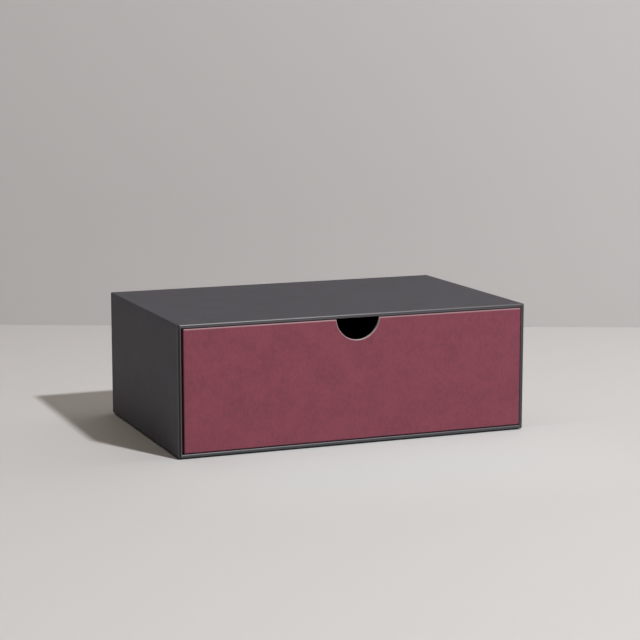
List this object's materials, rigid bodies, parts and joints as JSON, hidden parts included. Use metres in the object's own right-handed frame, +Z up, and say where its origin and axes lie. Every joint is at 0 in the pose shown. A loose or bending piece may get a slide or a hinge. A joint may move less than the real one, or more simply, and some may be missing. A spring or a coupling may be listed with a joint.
{
  "type": "sliding drawer gift box",
  "caption": "Rigid paper-covered box: a tray with a half-round thumb notch in its front slides out of a sleeve that is open at the front.",
  "frame": {"origin": "the middle of the closed box's footprint, on the surface it stands on", "axes": "+Z up, +X to the right as seen from the front, +Y from the drawer's front to the closed back, so the drawer opens towards -Y"},
  "size_m": [0.285, 0.181, 0.101],
  "materials": {
    "greyboard": "plain grey bookbinding board",
    "stay_paper": "brown gummed kraft paper",
    "charcoal_paper": "matt charcoal covering paper with a fine fibre texture",
    "burgundy_paper": "matt burgundy covering paper with a fine fibre texture",
    "lining_paper": "matt black lining paper"
  },
  "bodies": {
    "sleeve": {"sleeve_top_board": "greyboard", "sleeve_bottom_board": "greyboard", "sleeve_left_board": "greyboard", "sleeve_right_board": "greyboard", "sleeve_back_board": "greyboard", "sleeve_stay_top_left": "stay_paper", "sleeve_stay_top_right": "stay_paper", "sleeve_stay_bottom_left": "stay_paper", "sleeve_stay_bottom_right": "stay_paper", "sleeve_stay_back_top": "stay_paper", "sleeve_stay_back_bottom": "stay_paper", "sleeve_stay_back_left": "stay_paper", "sleeve_stay_back_right": "stay_paper", "sleeve_wrap": "charcoal_paper", "sleeve_back_sheet": "charcoal_paper", "sleeve_bottom_sheet": "charcoal_paper", "sleeve_wall_lining": "lining_paper", "sleeve_back_lining": "lining_paper"},
    "drawer": {"drawer_front_board": "greyboard", "drawer_back_board": "greyboard", "drawer_left_board": "greyboard", "drawer_right_board": "greyboard", "drawer_base_board": "greyboard", "drawer_stay_front_left": "stay_paper", "drawer_stay_front_right": "stay_paper", "drawer_stay_back_left": "stay_paper", "drawer_stay_back_right": "stay_paper", "drawer_stay_base_front": "stay_paper", "drawer_stay_base_back": "stay_paper", "drawer_stay_base_left": "stay_paper", "drawer_stay_base_right": "stay_paper", "drawer_wrap": "burgundy_paper", "drawer_base_sheet": "burgundy_paper", "drawer_wall_lining": "lining_paper", "drawer_base_lining": "lining_paper"}
  },
  "joints": [
    {"name": "drawer_slide", "type": "slide", "parent": "sleeve", "child": "drawer", "axis": [0, -1, 0], "range_m": [0, 0.166]}
  ]
}
